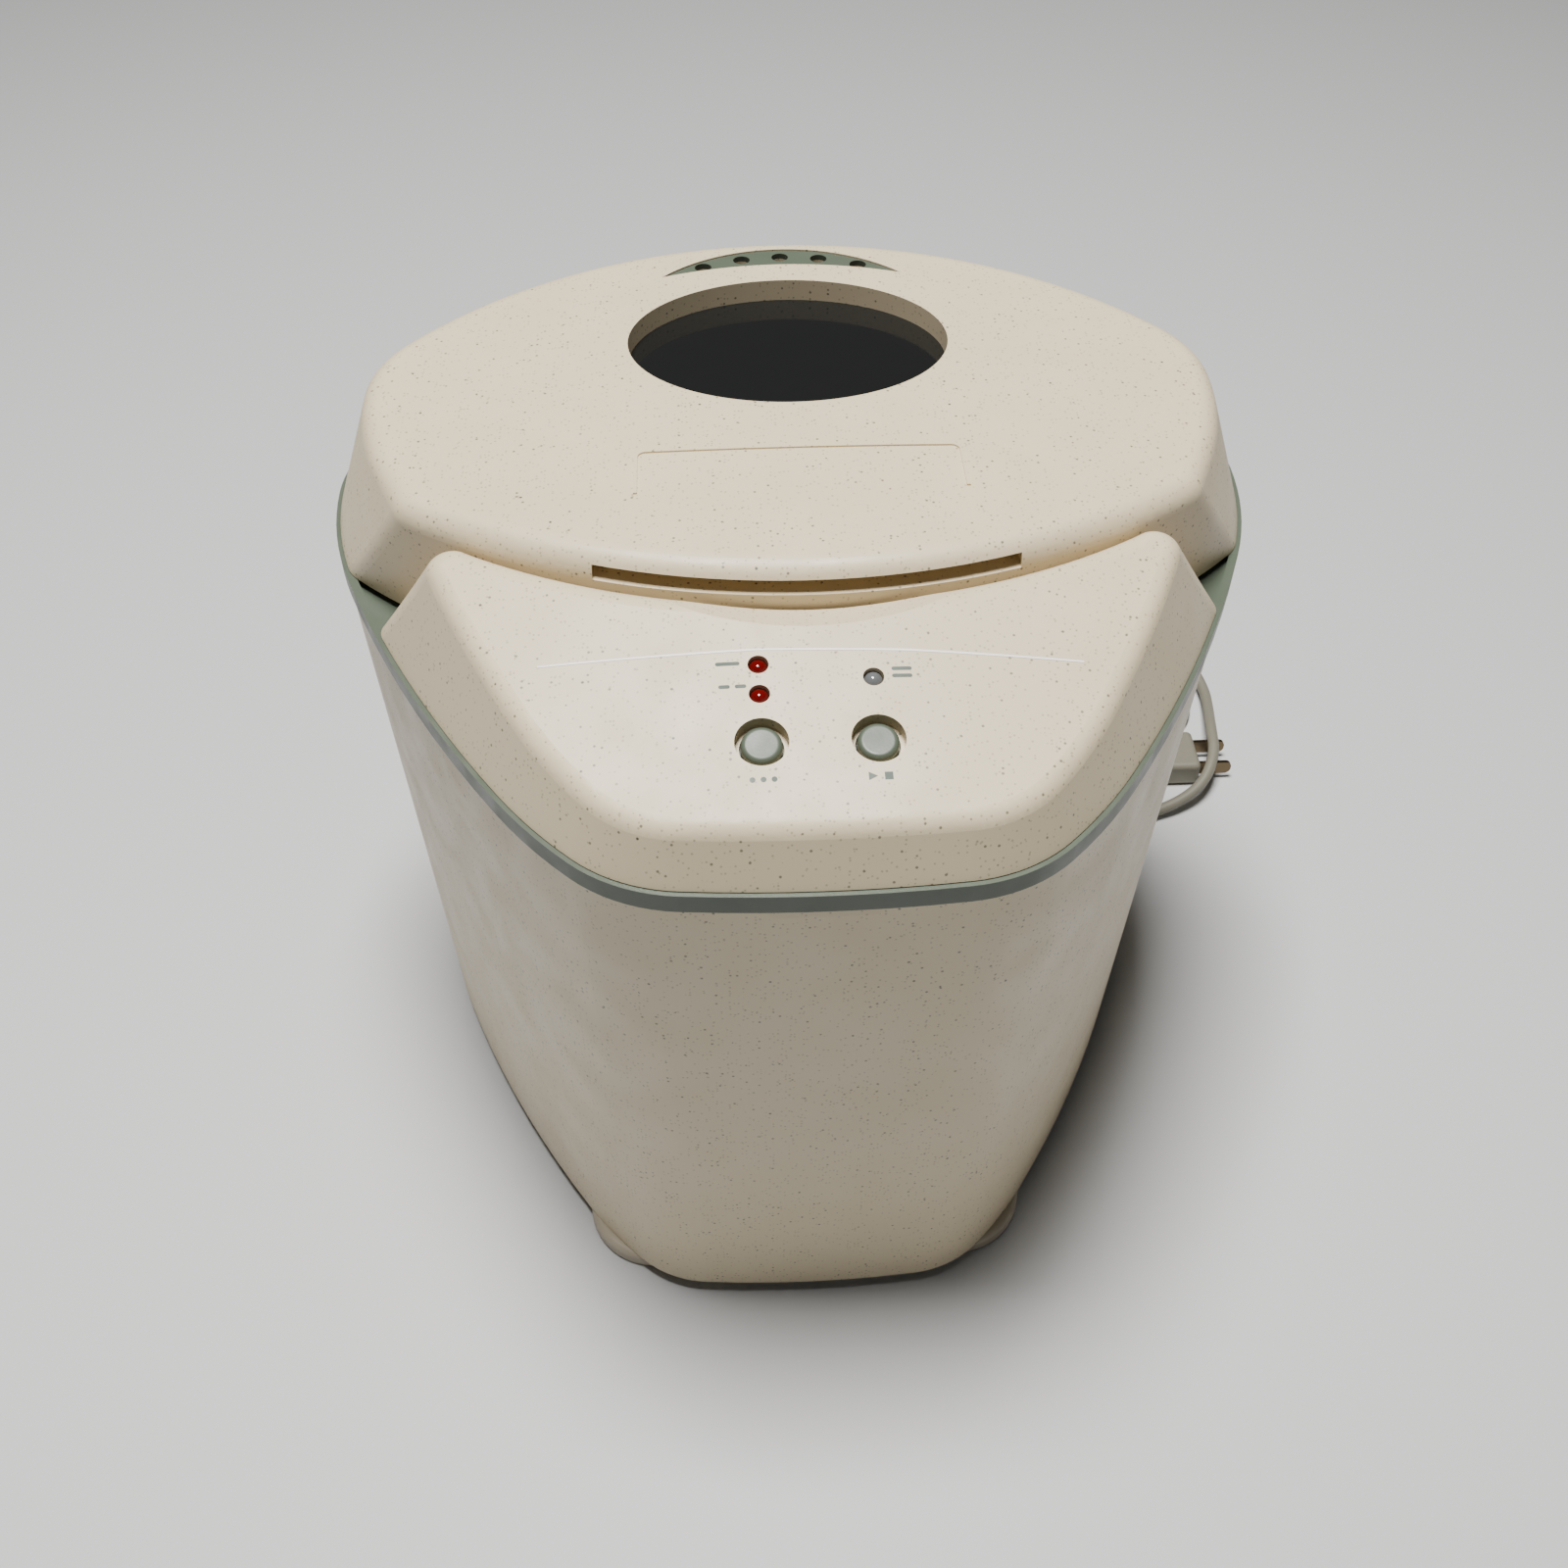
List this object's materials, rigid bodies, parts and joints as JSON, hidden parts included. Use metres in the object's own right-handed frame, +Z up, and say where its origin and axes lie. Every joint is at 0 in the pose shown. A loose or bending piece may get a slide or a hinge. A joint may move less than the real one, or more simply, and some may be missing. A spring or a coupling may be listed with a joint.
{
  "type": "bread machine",
  "caption": "Compact countertop bread machine: nose-shaped shell with hinged domed lid, oval window, sloping push-button panel, round oven, bread pan and kneading drive.",
  "frame": {"origin": "centre of the body box on the surface it stands on", "axes": "+Z up, -Y towards the nose with the control panel, +X to the right as seen from the front"},
  "size_m": [0.3311, 0.3599, 0.2502],
  "materials": {
    "speckled_shell": "satin, speckled",
    "green_trim": "satin",
    "smoked_glass": "polished, smoked",
    "rubber_black": "matt",
    "base_plastic": "satin",
    "steel": "plain sheet",
    "bright_steel": "polished",
    "aluminium": "pressed sheet",
    "non_stick": "dark non-stick coating",
    "heater": "oxidised sheath",
    "ceramic": "glazed ceramic",
    "board_green": "lacquered board",
    "red_lens": "clear red lens",
    "clear_lens": "clear lens",
    "black_plastic": "matt",
    "white_plastic": "satin",
    "belt_rubber": "matt",
    "brass": "plain",
    "cord_vinyl": "satin vinyl",
    "dark_brass": "tarnished"
  },
  "bodies": {
    "lid": {"lid_shell": "speckled_shell", "lid_liner": "aluminium", "lid_screws": "steel", "window_glass": "smoked_glass", "window_gasket": "rubber_black", "vent_insert": "green_trim"},
    "select_button": {"select_button": "green_trim"},
    "start_button": {"start_button": "green_trim"},
    "drive": {"drive_shaft": "bright_steel", "drive_dog": "aluminium", "drive_pulley": "white_plastic"},
    "motor": {"motor_rotor": "steel", "motor_shaft": "bright_steel", "motor_pinion": "white_plastic", "cooling_fan": "black_plastic"},
    "pan": {"bread_pan": "non_stick", "pan_bush": "brass", "shaft_seal": "rubber_black"},
    "handle": {"pan_handle": "bright_steel"},
    "paddle": {"pan_shaft": "bright_steel", "kneading_paddle": "non_stick"},
    "machine": {"housing": "speckled_shell", "base_pan": "base_plastic", "foot_pads": "rubber_black", "collar": "green_trim", "control_panel": "speckled_shell", "mode_leds": "red_lens", "status_led": "clear_lens", "control_board": "board_green", "push_switches": "black_plastic", "board_screws": "steel", "hinge_pin": "bright_steel", "oven_chamber": "steel", "heating_element": "heater", "element_bushes": "ceramic", "temperature_sensor": "bright_steel", "pan_socket": "steel", "drive_belt": "belt_rubber", "chassis_plate": "steel", "chassis_screws": "steel", "bearing_block": "brass", "motor_case": "steel", "power_board": "board_green", "cord_gland": "white_plastic", "cord_lead": "cord_vinyl", "cord_coil": "cord_vinyl", "cord_tail": "cord_vinyl", "plug_body": "cord_vinyl", "plug_blades": "dark_brass"}
  },
  "joints": [
    {"name": "lid_hinge", "type": "hinge", "parent": "machine", "child": "lid", "pos_m": [0, 0.11842, 0.217], "axis": [-1, 0, 0], "range_deg": [0, 95]},
    {"name": "select_press", "type": "slide", "parent": "machine", "child": "select_button", "axis": [0, 0.2588, -0.9659], "range_m": [0, 0.0015], "stiffness_N_per_m": 400},
    {"name": "start_press", "type": "slide", "parent": "machine", "child": "start_button", "axis": [0, 0.2588, -0.9659], "range_m": [0, 0.0015], "stiffness_N_per_m": 400},
    {"name": "drive_spin", "type": "hinge", "parent": "machine", "child": "drive", "pos_m": [0, 0.03642, 0.1], "axis": [0, 0, 1], "continuous": true},
    {"name": "motor_spin", "type": "hinge", "parent": "machine", "child": "motor", "pos_m": [0, -0.08158, 0.1], "axis": [0, 0, 1], "continuous": true},
    {"name": "pan_lift", "type": "slide", "parent": "machine", "child": "pan", "axis": [0, 0, 1], "range_m": [0, 0.05]},
    {"name": "handle_swing", "type": "hinge", "parent": "pan", "child": "handle", "pos_m": [0, 0.03642, 0.1975], "axis": [-1, 0, 0], "range_deg": [0, 95]},
    {"name": "paddle_spin", "type": "hinge", "parent": "pan", "child": "paddle", "pos_m": [0, 0.03642, 0.1], "axis": [0, 0, 1], "continuous": true}
  ],
  "couplings": [
    {"joint": "motor_spin", "follows": "drive_spin", "ratio": 4.6667},
    {"joint": "paddle_spin", "follows": "drive_spin", "ratio": 1},
    {"joint": "pan_lift", "follows": "lid_hinge", "m_per_rad": 0.03},
    {"joint": "handle_swing", "follows": "lid_hinge", "ratio": 1}
  ]
}
